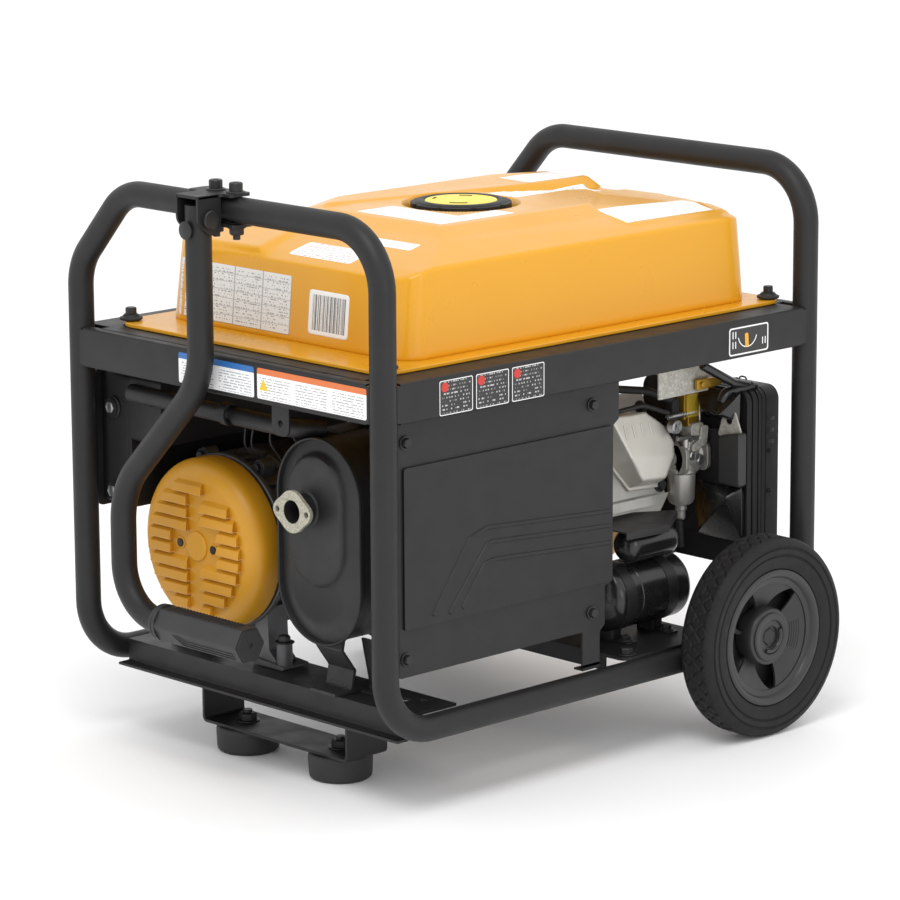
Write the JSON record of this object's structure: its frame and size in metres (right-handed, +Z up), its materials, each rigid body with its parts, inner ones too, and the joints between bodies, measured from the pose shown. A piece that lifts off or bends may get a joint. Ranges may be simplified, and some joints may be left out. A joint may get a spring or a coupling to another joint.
{
  "type": "portable generator",
  "caption": "Open-frame portable generator: tube frame with a fuel tank on top, engine and alternator inside, two wheels, rubber feet and a fold-out tow handle.",
  "frame": {"origin": "on the floor, under the middle of the whole object's box", "axes": "+Z up, +X along the frame towards the wheel and recoil-starter end, +Y towards the control panel, -Y towards the heat shield"},
  "size_m": [0.6448, 0.55, 0.5865],
  "materials": {
    "frame_paint": "satin powder coat",
    "tank_paint": "gloss paint",
    "cover_yellow": "satin",
    "black_metal": "matt heat-proof paint",
    "cast_metal": "cast",
    "zinc": "plated",
    "steel": "plated",
    "black_plastic": "fine moulded texture",
    "tyre_rubber": "moulded tread",
    "rubber": "matt",
    "brass": "plain",
    "filter_foam": "open foam",
    "white_plastic": "satin",
    "red_plastic": "gloss"
  },
  "bodies": {
    "frame": {"left_hoop": "frame_paint", "right_hoop": "frame_paint", "front_lower_rail": "frame_paint", "back_lower_rail": "frame_paint", "front_upper_rail": "frame_paint", "back_upper_rail": "frame_paint", "left_upper_rail": "frame_paint", "right_upper_rail": "frame_paint", "left_cross_beam": "frame_paint", "engine_deck": "frame_paint", "foot_bracket": "frame_paint", "front_foot": "rubber", "back_foot": "rubber", "front_wheel_axle": "steel", "back_wheel_axle": "steel", "heat_shield": "frame_paint", "handle_bracket": "frame_paint", "bracket_clamp": "frame_paint", "pivot_pin": "steel", "fuel_tank": "tank_paint", "tank_bolt_1": "rubber", "tank_bolt_2": "rubber", "tank_bolt_3": "rubber", "tank_bolt_4": "rubber", "muffler": "black_metal", "alternator_end_cover": "cover_yellow", "alternator_housing": "cast_metal", "crankcase": "cast_metal", "cylinder_head": "cast_metal", "rocker_cover": "zinc", "spark_plug_cap": "black_plastic", "carburettor": "cast_metal", "air_cleaner_base": "black_plastic", "air_filter": "filter_foam", "fan_shroud": "cover_yellow", "recoil_cover": "black_plastic", "vapour_canister": "black_plastic", "control_box": "black_plastic", "control_panel_face": "black_metal", "duplex_outlet": "black_plastic", "locking_outlet": "black_plastic", "fuel_valve": "zinc"},
    "front_wheel": {"front_wheel_tyre": "tyre_rubber", "front_wheel_rim": "black_plastic"},
    "back_wheel": {"back_wheel_tyre": "tyre_rubber", "back_wheel_rim": "black_plastic"},
    "handle": {"handle_tube": "frame_paint", "handle_grip": "rubber"},
    "lock_button": {"lock_button": "steel"},
    "cap_gasket": {"cap_gasket": "rubber"},
    "fuel_cap": {"fuel_cap": "black_plastic"},
    "crankshaft": {"rotor_and_flywheel": "steel"},
    "recoil_grip": {"recoil_grip": "rubber"},
    "choke": {"choke_lever": "black_plastic"},
    "fuel_lever": {"fuel_valve_lever": "brass"},
    "air_cleaner_cover": {"air_cleaner_cover": "black_plastic"},
    "engine_switch": {"engine_switch": "red_plastic"},
    "breaker_1": {"breaker_button_1": "white_plastic"},
    "breaker_2": {"breaker_button_2": "white_plastic"},
    "oil_filler_cap": {"oil_filler_cap": "black_plastic"}
  },
  "joints": [
    {"name": "handle_fold", "type": "hinge", "parent": "frame", "child": "handle", "pos_m": [-0.3038, 0.0045, 0.5536], "axis": [0, 1, 0], "range_deg": [0, 90]},
    {"name": "lock_button_press", "type": "slide", "parent": "handle", "child": "lock_button", "axis": [1, 0, 0], "range_m": [0, 0.0025], "stiffness_N_per_m": 800, "springref_m": -0.002},
    {"name": "front_wheel_spin", "type": "hinge", "parent": "frame", "child": "front_wheel", "pos_m": [0.2072, -0.2545, 0.1015], "axis": [0, 1, 0], "continuous": true},
    {"name": "back_wheel_spin", "type": "hinge", "parent": "frame", "child": "back_wheel", "pos_m": [0.2072, 0.2545, 0.1015], "axis": [0, 1, 0], "continuous": true},
    {"name": "cap_lift", "type": "slide", "parent": "frame", "child": "cap_gasket", "axis": [0, 0, 1], "range_m": [0, 0.06]},
    {"name": "cap_turn", "type": "hinge", "parent": "cap_gasket", "child": "fuel_cap", "pos_m": [0.0372, 0, 0.53], "axis": [0, 0, 1], "range_deg": [0, 90]},
    {"name": "crank_spin", "type": "hinge", "parent": "frame", "child": "crankshaft", "pos_m": [0.0172, 0.08, 0.214], "axis": [1, 0, 0], "continuous": true},
    {"name": "recoil_pull", "type": "slide", "parent": "frame", "child": "recoil_grip", "axis": [1, 0, 0], "range_m": [0, 0.3], "stiffness_N_per_m": 40, "springref_m": -0.02},
    {"name": "choke_turn", "type": "hinge", "parent": "frame", "child": "choke", "pos_m": [0.2425, -0.13, 0.2835], "axis": [0, 0, -1], "range_deg": [0, 35]},
    {"name": "fuel_valve_turn", "type": "hinge", "parent": "frame", "child": "fuel_lever", "pos_m": [0.2232, -0.1548, 0.342], "axis": [0, 1, 0], "range_deg": [0, 90]},
    {"name": "air_cleaner_cover_off", "type": "slide", "parent": "frame", "child": "air_cleaner_cover", "axis": [1, 0, 0], "range_m": [0, 0.12]},
    {"name": "engine_switch_rock", "type": "hinge", "parent": "frame", "child": "engine_switch", "pos_m": [-0.0128, 0.219, 0.33], "axis": [1, 0, 0], "range_deg": [0, 15]},
    {"name": "breaker_1_push", "type": "slide", "parent": "frame", "child": "breaker_1", "axis": [0, -1, 0], "range_m": [0, 0.003], "stiffness_N_per_m": 300, "springref_m": -0.002},
    {"name": "breaker_2_push", "type": "slide", "parent": "frame", "child": "breaker_2", "axis": [0, -1, 0], "range_m": [0, 0.003], "stiffness_N_per_m": 300, "springref_m": -0.002},
    {"name": "oil_cap_out", "type": "slide", "parent": "frame", "child": "oil_filler_cap", "axis": [0, 1, 0], "range_m": [0, 0.045]}
  ]
}
